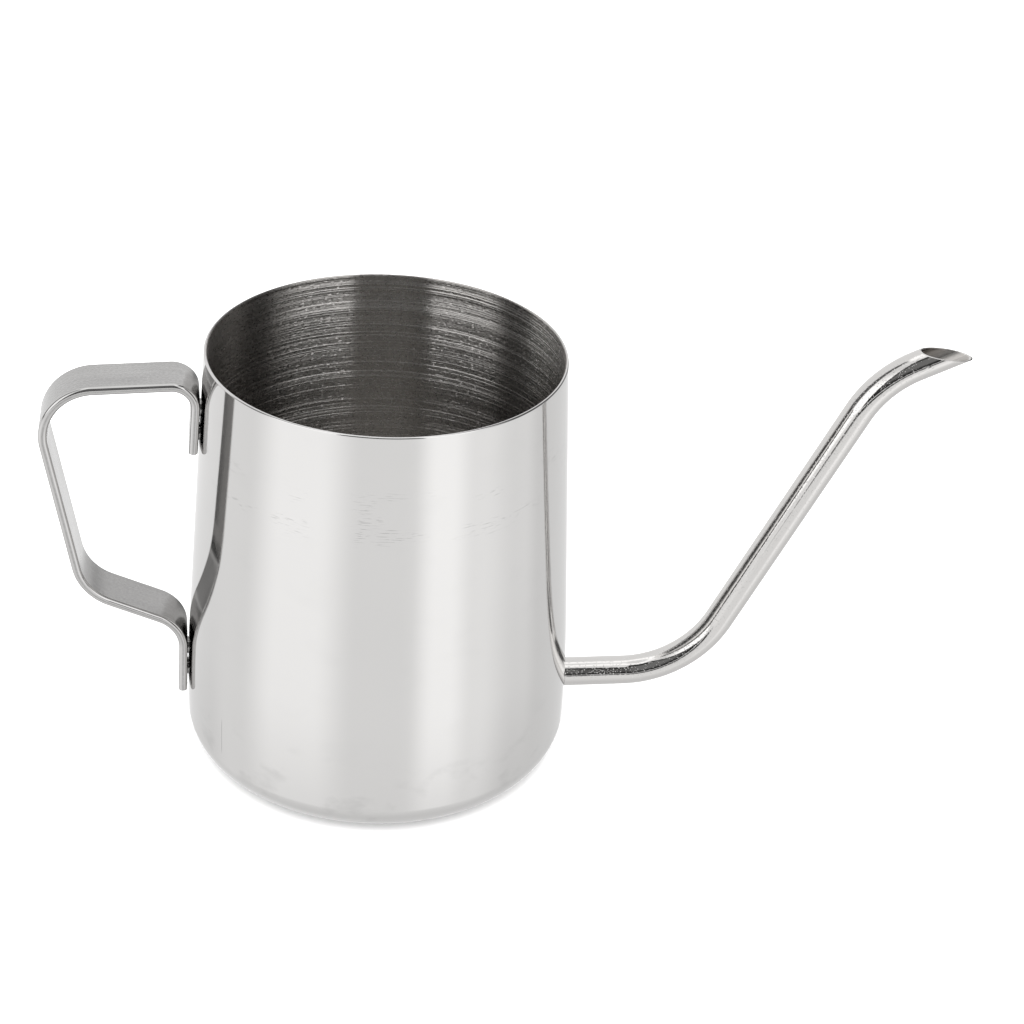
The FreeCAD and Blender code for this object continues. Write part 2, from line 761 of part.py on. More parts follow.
def check(subparts):
    for item in doc.Objects:
        if "Invalid" in item.State or "Error" in item.State:
            raise ValueError(f"{item.Label} failed to recompute")
    for item in subparts:
        shape = item.Shape
        if shape.isNull() or not shape.isValid() or len(shape.Solids) != 1:
            raise ValueError(f"{item.Label} isn't one valid solid")


def write(subparts):
    os.makedirs("parts", exist_ok=True)
    for item in subparts:
        item.Shape.exportStep(f"parts/{item.Label}.step")


cup = make_cup()
kettle = [cup, make_spout(), make_spout_bead(cup), make_strap()] + make_spot_welds(cup)
doc.recompute()
check(kettle)
write(kettle)
for item in kettle:
    box = item.Shape.optimalBoundingBox(False, False)
    print(f"{item.Label}: {box.XLength:.2f} x {box.YLength:.2f} x {box.ZLength:.2f} mm")
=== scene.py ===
import math

import bpy
import numpy as np
from mathutils import Matrix, Vector


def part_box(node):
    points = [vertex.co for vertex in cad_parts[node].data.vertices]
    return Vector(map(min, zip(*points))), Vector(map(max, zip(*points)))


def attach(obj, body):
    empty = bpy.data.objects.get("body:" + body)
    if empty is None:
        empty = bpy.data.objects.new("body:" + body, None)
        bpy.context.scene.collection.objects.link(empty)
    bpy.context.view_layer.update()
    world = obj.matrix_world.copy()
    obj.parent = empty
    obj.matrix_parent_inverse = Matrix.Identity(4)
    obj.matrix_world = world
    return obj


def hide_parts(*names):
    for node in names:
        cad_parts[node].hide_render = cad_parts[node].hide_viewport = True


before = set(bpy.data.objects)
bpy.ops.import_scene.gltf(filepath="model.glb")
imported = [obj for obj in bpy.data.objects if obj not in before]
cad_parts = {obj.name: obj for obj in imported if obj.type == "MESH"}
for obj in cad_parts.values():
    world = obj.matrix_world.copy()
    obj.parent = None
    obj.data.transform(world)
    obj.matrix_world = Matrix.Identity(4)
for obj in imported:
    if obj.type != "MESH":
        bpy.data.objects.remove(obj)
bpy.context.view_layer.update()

# Looks of a small gooseneck kettle. The cup's axis is Z, the spout points along +X and the
# handle is on the -X side; both lie in the plane y = 0. Lengths are in metres.

MM = 0.001

# ---------------------------------------------------------------- sizes

CUP_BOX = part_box("kettle_body")
TUBE_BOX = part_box("spout_tube")
STRAP_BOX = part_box("handle_strap")

CUP_HEIGHT = CUP_BOX[1].z
BASE_RADIUS = min(CUP_BOX[1].x, CUP_BOX[1].y)
SHEET = 0.7 * MM
CORNER_RADIUS = 7 * MM
BELLY_RADIUS = 400 * MM
TAPER = 3.7
RECESS_RADIUS = 30 * MM
RECESS_DEPTH = 0.8 * MM
RECESS_SLOPE = 45
RECESS_FILLET = 0.8 * MM
CUP_STEP = 1.6 * MM
CUP_SEGMENTS = 320
# Rows of faces past the top of the lip that still have the outside's polish.
POLISHED_LIP_ROWS = 3
# Marks on the wall: how far round from +X the upright scratch lies, and bands of height.
SCRATCH_AROUND = math.radians(213.4) * BASE_RADIUS
SCRATCH_HEIGHTS = (9 * MM, 20 * MM)
SCUFF_HEIGHTS = (73 * MM, 89 * MM)
SCUFF_FADE = 5 * MM
GRIME_HEIGHTS = (10 * MM, 26 * MM)

# Height from which the brushing inside the cup starts to change towards the lip.
SEEN_INSIDE_HEIGHT = 55 * MM
DRILL_LENGTH = 12 * MM

TUBE_RADIUS = (TUBE_BOX[1].y - TUBE_BOX[0].y) / 2
BORE_RADIUS = TUBE_RADIUS - 0.5 * MM
HOLE_RADIUS = TUBE_RADIUS + 0.05 * MM
TUBE_ROOT = TUBE_BOX[0].x
TUBE_HEIGHT = TUBE_BOX[0].z + TUBE_RADIUS
FIRST_BEND_REACH = 60.5 * MM
SPOUT_BEND = 25 * MM
RISER_ANGLE = 64.7
RISER_LENGTH = 62.7 * MM
TIP_ANGLE = 24.4
TIP_LENGTH = 7 * MM
TIP_CUT_ANGLE = 31.6
TUBE_CHAMFER = 0.12 * MM
TUBE_STEP = 0.8 * MM
TUBE_SEGMENTS = 96
TIP_STEPS = 8
TIP_RIM_BLEND = (0.7, 0.5)

STRAP_WIDTH = STRAP_BOX[1].y - STRAP_BOX[0].y
STRAP_THICKNESS = 2 * MM
STRAP_EDGE = 0.8 * MM
STRAP_END_EDGE = 0.3 * MM
STRAP_END_STEPS = 5
STAND_OFF = 0.2 * MM
UPPER_TAB_FOOT = 77.4 * MM
LOWER_TAB_FOOT = STRAP_BOX[0].z
LOWER_TAB_LEAN = 1.7
STRAP_HEADINGS = [90 - TAPER, 2.1 - 180, 9.7 - 90, -24.3, -90 - LOWER_TAB_LEAN]
STRAP_BENDS = [5.1 * MM, 11.6 * MM, 12.4 * MM, 8.8 * MM]
STRAP_LENGTHS = [11.1 * MM, 16.5 * MM, 32 * MM]
STRAP_STEP = 0.8 * MM

# ---------------------------------------------------------------- plane outlines


def heading_vector(degrees):
    """Unit vectors in the plane, one for each angle from the first axis."""
    angle = np.radians(degrees)
    return np.stack([np.cos(angle), np.sin(angle)], axis=-1)


def trace(start, heading, moves, step, finest_turn=6):
    """Follows straights and tangent bends, and samples them closely.

    A move is (length,) for a straight or (turn in degrees, radius) for a bend. Returns the
    points and, at each point, the heading in degrees."""
    points = [np.array(start, float)]
    headings = [float(heading)]
    for move in moves:
        here, facing = points[-1], headings[-1]
        if len(move) == 1:
            count = max(1, math.ceil(move[0] / step))
            for share in np.arange(1, count + 1) / count:
                points.append(here + heading_vector(facing) * move[0] * share)
                headings.append(facing)
            continue
        turn, radius = move
        side = math.copysign(1, turn)
        centre = here + heading_vector(facing + 90 * side) * radius
        arc_length = abs(math.radians(turn)) * radius
        count = max(1, math.ceil(arc_length / step), math.ceil(abs(turn) / finest_turn))
        for share in np.arange(1, count + 1) / count:
            angle = facing + turn * share
            points.append(centre + heading_vector(angle - 90 * side) * radius)
            headings.append(angle)
    return np.array(points), np.array(headings)


def run_lengths(points):
    """Distance along a line of points, from its first point."""
    gaps = np.linalg.norm(np.diff(points, axis=0), axis=1)
    return np.concatenate([[0], np.cumsum(gaps)])


# ---------------------------------------------------------------- mesh helpers


def grid_faces(rows, columns, close_rows):
    """Quads of a grid whose columns close on themselves; the rows do too if asked."""
    quads = []
    for row in range(rows if close_rows else rows - 1):
        below = row * columns
        above = (row + 1) % rows * columns
        for column in range(columns):
            after = (column + 1) % columns
            quads.append((below + column, below + after, above + after, above + column))
    return quads


def grid_uvs(along, around):
    """Corner coordinates that match grid_faces: x goes around and y goes along, in metres.

    Both lists have one value more than the grid has rows or columns where the grid closes."""
    corners = []
    last_row = len(along) - 1
    for row in range(last_row):
        for column in range(len(around) - 1):
            for x, y in ((0, 0), (1, 0), (1, 1), (0, 1)):
                corners.append((around[column + x], along[row + y]))
    return corners


def make_object(name, points, faces, normals, corner_uvs, materials, face_materials=None):
    """New mesh object with its own exact normals, so that reflections run smoothly over it."""
    mesh = bpy.data.meshes.new(name)
    mesh.from_pydata([tuple(point) for point in points], [], faces)
    layer = mesh.uv_layers.new(name="surface")
    layer.data.foreach_set("uv", np.array(corner_uvs, np.float32).ravel())
    for material in materials:
        mesh.materials.append(material)
    if face_materials is not None:
        mesh.polygons.foreach_set("material_index", np.array(face_materials, np.int32))
    mesh.polygons.foreach_set("use_smooth", np.ones(len(faces), bool))
    mesh.normals_split_custom_set_from_vertices([tuple(normal) for normal in normals])
    mesh.update()
    piece = bpy.data.objects.new(name, mesh)
    bpy.context.scene.collection.objects.link(piece)
    return piece


def stand_in(piece, node):
    """The piece takes the place of a CAD node and rides on the kettle's one body."""
    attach(piece, "root")
    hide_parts(node)


# ---------------------------------------------------------------- node helpers


class Graph:
    """Short ways to make shader nodes and join them up."""

    def __init__(self, tree):
        self.tree = tree
        tree.nodes.clear()

    def feed(self, socket, value):
        if isinstance(value, bpy.types.NodeSocket):
            self.tree.links.new(value, socket)
        else:
            socket.default_value = value

    def add(self, kind, inputs=None, **settings):
        node = self.tree.nodes.new(kind)
        for name, value in settings.items():
            setattr(node, name, value)
        for name, value in (inputs or {}).items():
            self.feed(node.inputs[name], value)
        return node

    def math(self, operation, *values):
        node = self.add("ShaderNodeMath", operation=operation)
        for socket, value in zip(node.inputs, values):
            self.feed(socket, value)
        return node.outputs[0]

    def ease(self, value, start, end, low=0.0, high=1.0):
        """Goes smoothly from low to high while value goes from start to end."""
        node = self.add("ShaderNodeMapRange", interpolation_type="SMOOTHSTEP")
        for name, number in (
            ("Value", value), ("From Min", start), ("From Max", end), ("To Min", low), ("To Max", high),
        ):
            self.feed(node.inputs[name], number)
        return node.outputs["Result"]

    def between(self, low, high, share):
        """Straight mix of two numbers."""
        node = self.add("ShaderNodeMix", {"Factor": share, "A": low, "B": high})
        return node.outputs["Result"]

    def tint(self, low, high, share):
        """Straight mix of two colours."""
        node = self.add("ShaderNodeMix", data_type="RGBA")
        self.feed(node.inputs[0], share)
        self.feed(node.inputs[6], low)
        self.feed(node.inputs[7], high)
        return node.outputs[2]

    def surface_point(self, scale=(1, 1, 1), turn=0.0, shift=(0, 0, 0)):
        """The piece's own surface coordinates, in metres times scale."""
        uv = self.add("ShaderNodeUVMap", uv_map="surface").outputs["UV"]
        mapping = {"Vector": uv, "Scale": scale, "Rotation": (0, 0, turn), "Location": shift}
        return self.add("ShaderNodeMapping", mapping).outputs["Vector"]

    def noise(self, point, scale=1.0, detail=2.0, roughness=0.5):
        inputs = {"Vector": point, "Scale": scale, "Detail": detail, "Roughness": roughness}
        return self.add("ShaderNodeTexNoise", inputs).outputs["Fac"]

    def bump(self, height, distance, normal=None):
        inputs = {"Height": height, "Distance": distance, "Strength": 1.0}
        if normal is not None:
            inputs["Normal"] = normal
        return self.add("ShaderNodeBump", inputs).outputs["Normal"]

    def leaning_normal(self, rise):
        """The surface's own normal leaning upwards by a slope, as on the flank of a groove."""
        own = self.add("ShaderNodeNewGeometry").outputs["Normal"]
        lift = self.add("ShaderNodeCombineXYZ", {"Z": rise}).outputs["Vector"]
        total = self.add("ShaderNodeVectorMath", operation="ADD")
        self.feed(total.inputs[0], own)
        self.feed(total.inputs[1], lift)
        unit = self.add("ShaderNodeVectorMath", operation="NORMALIZE")
        self.feed(unit.inputs[0], total.outputs["Vector"])
        return unit.outputs["Vector"]


def metal(name, build):
    """New metal material; build(graph) returns the inputs of its metallic surface."""
    material = bpy.data.materials.new(name)
    material.use_nodes = True
    graph = Graph(material.node_tree)
    shader = graph.add("ShaderNodeBsdfPrincipled", {"Metallic": 1.0, **build(graph)})
    graph.add("ShaderNodeOutputMaterial", {"Surface": shader.outputs["BSDF"]})
    return material


def grey(level, warmth=0.012):
    """Colour of bare stainless steel, a little warm."""
    return (level * (1 + warmth), level, level * (1 - warmth), 1)


# ---------------------------------------------------------------- materials


def hairlines(graph, turn, spacing, length, share):
    """Thin straight scratches: 1 on a line and 0 off it, for a small share of the surface."""
    point = graph.surface_point((1 / length, 1 / spacing, 1), turn)
    lines = graph.noise(point, detail=1.0)
    return graph.ease(lines, 0.5 + 0.25 * (1 - share), 0.8)


def height_above_base(graph):
    place = graph.add("ShaderNodeNewGeometry").outputs["Position"]
    return graph.add("ShaderNodeSeparateXYZ", {"Vector": place}).outputs["Z"]


def scuffs(graph, height):
    """Belt of short fine level scratches below the lip."""
    low, high = SCUFF_HEIGHTS
    belt = graph.math(
        "MULTIPLY",
        graph.ease(height, low, low + SCUFF_FADE),
        graph.ease(height, high, high - SCUFF_FADE),
    )
    dashes = graph.noise(graph.surface_point((300, 3200, 1), 0.04), detail=2.0)
    patches = graph.noise(graph.surface_point((60, 140, 1), shift=(2, 0, 0)), detail=1.0)
    share = graph.math("MULTIPLY", graph.ease(dashes, 0.56, 0.68), graph.ease(patches, 0.5, 0.62))
    return graph.math("MULTIPLY", share, belt)


def upright_scratch(graph, height):
    """One short upright scratch low on the wall."""
    around = graph.add("ShaderNodeSeparateXYZ", {"Vector": graph.surface_point()}).outputs["X"]
    offset = graph.math("ABSOLUTE", graph.math("SUBTRACT", around, SCRATCH_AROUND))
    line = graph.ease(offset, 0.22 * MM, 0.08 * MM)
    low, high = SCRATCH_HEIGHTS
    ends = graph.math(
        "MULTIPLY",
        graph.ease(height, low, low + 2 * MM),
        graph.ease(height, high, high - 3 * MM),
    )
    return graph.math("MULTIPLY", line, ends)


def polished_sheet(graph):
    """Mirror-bright outside of the cup: faint wiping scratches, smudges and a slight ripple."""
    height = height_above_base(graph)
    level = graph.noise(graph.surface_point((18, 26, 1)), detail=3.0)
    colour = graph.tint(grey(0.63), grey(0.655), level)
    smudges = graph.noise(graph.surface_point((90, 130, 1), shift=(3, 1, 0)), detail=4.0)
    smudges = graph.ease(smudges, 0.52, 0.72)
    dirty_below, clean_from = GRIME_HEIGHTS
    low_wall = graph.ease(height, clean_from, dirty_below)
    grime = graph.math("MULTIPLY", smudges, graph.between(0.12, 1.0, low_wall))
    marks = graph.math("MAXIMUM", scuffs(graph, height), upright_scratch(graph, height))
    colour = graph.tint(colour, grey(0.52), graph.math("MULTIPLY", grime, 0.5))
    colour = graph.tint(colour, grey(0.40), graph.math("MULTIPLY", marks, 0.6))
    level_lines = hairlines(graph, 0.03, 0.25 * MM, 14 * MM, 0.5)
    steep_lines = hairlines(graph, 1.2, 0.3 * MM, 9 * MM, 0.3)
    patches = graph.ease(graph.noise(graph.surface_point((25, 25, 1)), detail=2.0), 0.5, 0.62)
    scratches = graph.math("MULTIPLY", graph.math("MAXIMUM", level_lines, steep_lines), patches)
    roughness = graph.math("MULTIPLY_ADD", grime, 0.06, 0.065)
    roughness = graph.math("MULTIPLY_ADD", scratches, 0.06, roughness)
    ripple = graph.noise(graph.surface_point((60, 25, 1)), detail=1.0)
    normal = graph.bump(ripple, 0.02 * MM)
    normal = graph.bump(graph.math("ADD", scratches, marks), 0.003 * MM, normal=normal)
    return {"Base Color": colour, "Roughness": roughness, "Normal": normal}


# Slopes of the brushing inside the cup: how far its grooves lean the surface upwards.
LEAN_DEEP = -0.52
LEAN_AT_LIP = -0.25
LEAN_LIMIT = 0.62


def brushed_inside(graph):
    """Inside of the cup, brushed round and round, so that highlights spread up and down."""
    height = height_above_base(graph)
    rings = graph.noise(graph.surface_point((8, 4200, 1)), detail=1.0, roughness=0.6)
    bright_rings = graph.ease(rings, 0.54, 0.66, 0.0, 0.6)
    dark_rings = graph.ease(rings, 0.46, 0.34, 0.0, -0.6)
    grain = graph.noise(graph.surface_point((1100, 2800, 1), shift=(0, 5, 0)), detail=2.0)
    specks = graph.noise(graph.surface_point((900, 2400, 1), shift=(0, 9, 0)), detail=0.0)
    tilt = graph.ease(height, SEEN_INSIDE_HEIGHT, CUP_HEIGHT, LEAN_DEEP, LEAN_AT_LIP)
    tilt = graph.math("MULTIPLY_ADD", grain, 0.75, tilt)
    for part in (bright_rings, dark_rings, graph.ease(specks, 0.62, 0.76, 0.0, 0.5)):
        tilt = graph.math("ADD", tilt, part)
    tilt = graph.math("MINIMUM", tilt, LEAN_LIMIT)
    tangent = graph.add("ShaderNodeTangent", direction_type="RADIAL", axis="Z").outputs["Tangent"]
    return {
        "Base Color": graph.tint(grey(0.44, 0.045), grey(0.52, 0.03), rings),
        "Roughness": graph.ease(grain, 0.35, 0.65, 0.27, 0.31),
        "Anisotropic": 1.0,
        "Anisotropic Rotation": 0.25,
        "Tangent": tangent,
        "Normal": graph.leaning_normal(tilt),
    }


def polished_tube(graph):
    """Mirror-bright tube with faint lines along its length from drawing and polishing."""
    draw_lines = graph.noise(graph.surface_point((2600, 70, 1)), detail=2.0)
    level = graph.noise(graph.surface_point((90, 30, 1)), detail=3.0)
    pits = graph.noise(graph.surface_point((3000, 2200, 1), shift=(0, 7, 0)), detail=1.0)
    pits = graph.ease(pits, 0.6, 0.75)
    colour = graph.tint(grey(0.61, 0.02), grey(0.67, 0.02), level)
    roughness = graph.ease(level, 0.35, 0.7, 0.02, 0.05)
    normal = graph.bump(graph.noise(graph.surface_point((150, 80, 1)), detail=1.0), 0.008 * MM)
    normal = graph.bump(draw_lines, 0.002 * MM, normal=normal)
    normal = graph.bump(pits, 0.02 * MM, normal=normal)
    return {"Base Color": colour, "Roughness": roughness, "Normal": normal}


def tube_bore(graph):
    """Inside of the tube: bright, streaked by drawing."""
    streaks = graph.noise(graph.surface_point((1400, 60, 1)), detail=3.0)
    colour = graph.tint(grey(0.34, 0.04), grey(0.56, 0.04), streaks)
    roughness = graph.ease(streaks, 0.3, 0.7, 0.26, 0.36)
    return {"Base Color": colour, "Roughness": roughness, "Normal": graph.bump(streaks, 0.006 * MM)}


def satin_strip(graph, dark=0.36, bright=0.50):
    """Flat faces of the handle: satin, with grain along the strip."""
    grain = graph.noise(graph.surface_point((3000, 90, 1)), detail=3.0, roughness=0.7)
    specks = graph.noise(graph.surface_point((2600, 1500, 1), shift=(0, 7, 0)), detail=1.0)
    level = graph.noise(graph.surface_point((120, 50, 1)), detail=3.0)
    shade = graph.between(graph.between(grain, specks, 0.5), level, 0.35)
    colour = graph.tint(grey(dark), grey(bright), graph.ease(shade, 0.3, 0.7))
    roughness = graph.ease(level, 0.3, 0.7, 0.13, 0.2)
    tangent = graph.add("ShaderNodeTangent", direction_type="UV_MAP", uv_map="surface")
    return {
        "Base Color": colour,
        "Roughness": roughness,
        "Anisotropic": 0.4,
        "Tangent": tangent.outputs["Tangent"],
        "Normal": graph.bump(graph.between(grain, specks, 0.4), 0.02 * MM),
    }


def satin_inside_painted_shade(graph):
    """Faces on the inside of the handle's loop: the same satin steel, painted a little darker as painted
    shade where the loop faces the cup.
    """
    return satin_strip(graph, 0.31, 0.42)


def smooth_edge_painted_highlight(graph):
    """Rounded edges of the handle: smoother than its faces, which is their real polish, and painted brighter
    than them as a painted highlight along the edges.
    """
    level = graph.noise(graph.surface_point((400, 120, 1)), detail=3.0)
    # Lighter than the satin faces of the same steel: painted highlight.
    colour = graph.tint(grey(0.48), grey(0.58), level)
    return {
        "Base Color": colour,
        "Roughness": graph.ease(level, 0.3, 0.7, 0.02, 0.04),
        "Normal": graph.bump(level, 0.004 * MM),
    }


def weld_metal(graph):
    """Weld metal: a little duller than the sheet, with fine pits."""
    place = graph.add("ShaderNodeTexCoord").outputs["Object"]
    grain = graph.noise(place, 2500.0, 3.0)
    patches = graph.noise(place, 500.0, 2.0)
    colour = graph.tint(grey(0.3, 0.02), grey(0.44, 0.02), patches)
    roughness = graph.ease(grain, 0.3, 0.7, 0.14, 0.3)
    return {"Base Color": colour, "Roughness": roughness, "Normal": graph.bump(grain, 0.01 * MM)}


# ---------------------------------------------------------------- cup


def cup_outline():
    """Section of the cup from the axis under the base, over the lip and back inside."""
    lip_radius = SHEET / 2
    fillet_share = RECESS_FILLET * math.tan(math.radians(RECESS_SLOPE / 2))
    slope_length = RECESS_DEPTH / math.sin(math.radians(RECESS_SLOPE)) - 2 * fillet_share
    recess_flat = RECESS_RADIUS - RECESS_DEPTH - fillet_share
    ring_flat = BASE_RADIUS - CORNER_RADIUS - RECESS_RADIUS - fillet_share
    wall_start = CORNER_RADIUS + BELLY_RADIUS * math.sin(math.radians(TAPER))
    wall_end = CUP_HEIGHT - lip_radius + lip_radius * math.sin(math.radians(TAPER))
    wall_length = (wall_end - wall_start) / math.cos(math.radians(TAPER))
    down = (-RECESS_SLOPE, RECESS_FILLET)
    level = (RECESS_SLOPE, RECESS_FILLET)
    outside = [
        (recess_flat,), down, (slope_length,), level, (ring_flat,),
        (90, CORNER_RADIUS), (TAPER, BELLY_RADIUS), (wall_length,),
    ]
    inside = [
        (wall_length,), (-TAPER, BELLY_RADIUS - SHEET), (-90, CORNER_RADIUS - SHEET),
        (ring_flat,), down, (slope_length,), level, (recess_flat,),
    ]
    outline, headings = trace((0, RECESS_DEPTH), 0, outside + [(180, lip_radius)] + inside, CUP_STEP)
    outward = heading_vector(headings - 90)
    outline[0, 0] = outline[-1, 0] = 0
    return outline, outward


def turned(points, around):
    """Points of a section (radius, height) turned about the Z axis."""
    radius, height = points[:, None, 0], points[:, None, 1]
    return np.stack(
        [radius * np.cos(around), radius * np.sin(around), height + 0 * around], axis=-1
    )


def make_cup():
    """Turned cup with a hole for the spout, one mesh with the wall's real thickness."""
    outline, outward = cup_outline()
    around = np.arange(CUP_SEGMENTS) * 2 * math.pi / CUP_SEGMENTS
    rings = turned(outline[1:-1], around)
    normals = turned(outward[1:-1], around).reshape(-1, 3)
    poles = np.array([[0, 0, outline[0, 1]], [0, 0, outline[-1, 1]]])
    points = np.concatenate([rings.reshape(-1, 3), poles])
    rows = len(outline) - 2
    faces = grid_faces(rows, CUP_SEGMENTS, False)
    lengths = run_lengths(outline)
    reach = np.append(around, 2 * math.pi) * BASE_RADIUS
    uvs = grid_uvs(lengths[1:-1], reach)
    first, last = 0, (rows - 1) * CUP_SEGMENTS
    under, floor = rows * CUP_SEGMENTS, rows * CUP_SEGMENTS + 1
    for column in range(CUP_SEGMENTS):
        after = (column + 1) % CUP_SEGMENTS
        faces.append((first + after, first + column, under))
        faces.append((last + column, last + after, floor))
        uvs += [(reach[column + 1], lengths[1]), (reach[column], lengths[1]), (reach[column], 0)]
        uvs += [(reach[column], lengths[-2]), (reach[column + 1], lengths[-2]), (reach[column], lengths[-1])]
    normals = np.concatenate([normals, [[0, 0, -1], [0, 0, 1]]])
    lip_top = int(np.argmax(outline[:, 1]))
    last_polished = lip_top + POLISHED_LIP_ROWS
    inside = [1 if row + 1 > last_polished else 0 for row in range(rows - 1) for _ in around]
    inside += [0, 1] * CUP_SEGMENTS
    materials = [metal("polished_sheet", polished_sheet), metal("brushed_inside", brushed_inside)]
    cup = make_object("cup", points, faces, normals, uvs, materials, inside)
    drill_spout_hole(cup)
    stand_in(cup, "kettle_body")
    return cup


def drill_spout_hole(cup):
    """Cuts the round hole that the spout passes through."""
    bpy.ops.mesh.primitive_cylinder_add(
        vertices=TUBE_SEGMENTS,
        radius=HOLE_RADIUS,
        depth=DRILL_LENGTH,
        location=(BASE_RADIUS, 0, TUBE_HEIGHT),
        rotation=(0, math.pi / 2, 0),
    )
    drill = bpy.context.object
    cut = cup.modifiers.new("spout_hole", "BOOLEAN")
    cut.operation = "DIFFERENCE"
    cut.solver = "EXACT"
    cut.object = drill
    bpy.context.view_layer.objects.active = cup
    bpy.ops.object.modifier_apply(modifier=cut.name)
    bpy.data.objects.remove(drill)


# ---------------------------------------------------------------- spout


def spout_line():
    """Centre line up to the end of the second bend, and the headings along it."""
    moves = [
        (FIRST_BEND_REACH - TUBE_ROOT,),
        (RISER_ANGLE, SPOUT_BEND),
        (RISER_LENGTH,),
        (TIP_ANGLE - RISER_ANGLE, SPOUT_BEND),
    ]
    return trace((TUBE_ROOT, TUBE_HEIGHT), 0, moves, TUBE_STEP, 2)


def ring(centre, heading, radius, around, slide=0.0):
    """Circle about a point of the centre line; slide moves each point along the heading."""
    forward = heading_vector(heading)
    left = heading_vector(heading + 90)
    up_share = radius * np.cos(around)
    in_plane = centre + up_share[:, None] * left + np.asarray(slide)[..., None] * forward
    return np.stack([in_plane[:, 0], -radius * np.sin(around), in_plane[:, 1]], axis=-1)


def spout_rings():
    """Rings of points and normals: out along the outside, over the tip and back inside."""
    around = np.arange(TUBE_SEGMENTS) * 2 * math.pi / TUBE_SEGMENTS
    line, headings = spout_line()
    slant = 1 / math.tan(math.radians(TIP_CUT_ANGLE))

    def cut_slide(radius):
        return TIP_LENGTH - radius * np.cos(around) * slant

    def skin(radius, facing):
        rings = [ring(c, h, radius, around) for c, h in zip(line, headings)]
        rings[0] = ring(line[0], headings[0], radius, around, np.full(TUBE_SEGMENTS, TUBE_CHAMFER))
        for share in np.arange(1, TIP_STEPS + 1) / TIP_STEPS:
            slide = (cut_slide(radius) - TUBE_CHAMFER) * share
            rings.append(ring(line[-1], headings[-1], radius, around, slide))
        directions = list(headings) + [headings[-1]] * TIP_STEPS
        normals = [ring(np.zeros(2), h, facing, around) for h in directions]
        return rings, normals

    outer, outer_normals = skin(TUBE_RADIUS, 1.0)
    inner, inner_normals = skin(BORE_RADIUS, -1.0)
    cut_heading = TIP_ANGLE - TIP_CUT_ANGLE + 90
    cut_x, cut_z = heading_vector(cut_heading)
    cut_normal = np.tile([cut_x, 0, cut_z], (TUBE_SEGMENTS, 1))
    root_normal = np.tile([-1.0, 0, 0], (TUBE_SEGMENTS, 1))
    rims = (TUBE_RADIUS - TUBE_CHAMFER, BORE_RADIUS + TUBE_CHAMFER)
    tip = [ring(line[-1], headings[-1], radius, around, cut_slide(radius)) for radius in rims]
    root = [ring(line[0], headings[0], radius, around) for radius in rims]
    rings = outer + tip + inner[::-1] + root[::-1]
    skins = (outer_normals[-1], inner_normals[-1])
    tip_normals = [cut_normal + share * skin_normal for share, skin_normal in zip(TIP_RIM_BLEND, skins)]
    tip_normals = [n / np.linalg.norm(n, axis=1, keepdims=True) for n in tip_normals]
    normals = outer_normals + tip_normals + inner_normals[::-1] + [root_normal] * 2
    outside_rows = len(outer) + 2
    return np.array(rings), np.array(normals), outside_rows


def make_spout():
    """Bent tube with a real bore, its tip cut on a slant."""
    rings, normals, outside_rows = spout_rings()
    rows = len(rings)
    along = run_lengths(np.concatenate([rings[:, 0], rings[:1, 0]]))
    around = np.linspace(0, 2 * math.pi * TUBE_RADIUS, TUBE_SEGMENTS + 1)
    uvs = grid_uvs(along, around)
    faces = grid_faces(rows, TUBE_SEGMENTS, True)
    bore = [1 if outside_rows <= row < rows - 2 else 0 for row in range(rows) for _ in around[1:]]
    materials = [metal("polished_tube", polished_tube), metal("tube_bore", tube_bore)]
    points = rings.reshape(-1, 3)
    spout = make_object("spout", points, faces, normals.reshape(-1, 3), uvs, materials, bore)
    stand_in(spout, "spout_tube")
    return spout


# ---------------------------------------------------------------- handle


def wall_radius(height, lean, proud):
    """Radius at which a line leaning in by lean degrees touches the belly, moved out by proud."""
    tilt = math.radians(lean)
    drop = (height - CORNER_RADIUS) * math.sin(tilt)
    return BASE_RADIUS - BELLY_RADIUS + (BELLY_RADIUS + proud - drop) / math.cos(tilt)


def strap_line():
    """Middle line of the bent strip, from the foot of the upper tab to that of the lower tab."""
    proud = STAND_OFF + STRAP_THICKNESS / 2
    start = np.array([-wall_radius(UPPER_TAB_FOOT, TAPER, proud), UPPER_TAB_FOOT])
    end = np.array([-wall_radius(LOWER_TAB_FOOT, LOWER_TAB_LEAN, proud), LOWER_TAB_FOOT])

    def moves(arm_length, tab_length):
        steps = []
        lengths = STRAP_LENGTHS + [arm_length, tab_length]
        for index, length in enumerate(lengths):
            steps.append((length,))
            if index < len(STRAP_BENDS):
                turn = (STRAP_HEADINGS[index + 1] - STRAP_HEADINGS[index] + 180) % 360 - 180
                steps.append((turn, STRAP_BENDS[index]))
        return steps

    # Without its last two straights the strip stops short; they span the gap that is left.
    short, _ = trace(start, STRAP_HEADINGS[0], moves(0, 0), STRAP_STEP)
    spans = heading_vector(np.array(STRAP_HEADINGS[3:])).T
    arm_length, tab_length = np.linalg.solve(spans, end - short[-1])
    return trace(start, STRAP_HEADINGS[0], moves(arm_length, tab_length), STRAP_STEP, 3)


def strap_section(inset):
    """Rounded bar section (across the thickness, across the width), shrunk by inset all round."""
    flat_short = STRAP_THICKNESS - 2 * STRAP_EDGE
    flat_long = STRAP_WIDTH - 2 * STRAP_EDGE
    corner = (90, STRAP_EDGE - inset)
    start = (-flat_short / 2, -STRAP_WIDTH / 2 + inset)
    moves = [(flat_short,), corner, (flat_long,), corner] * 2
    points, headings = trace(start, 0, moves, 2 * MM, 10)
    return points[:-1], heading_vector(headings[:-1] - 90)


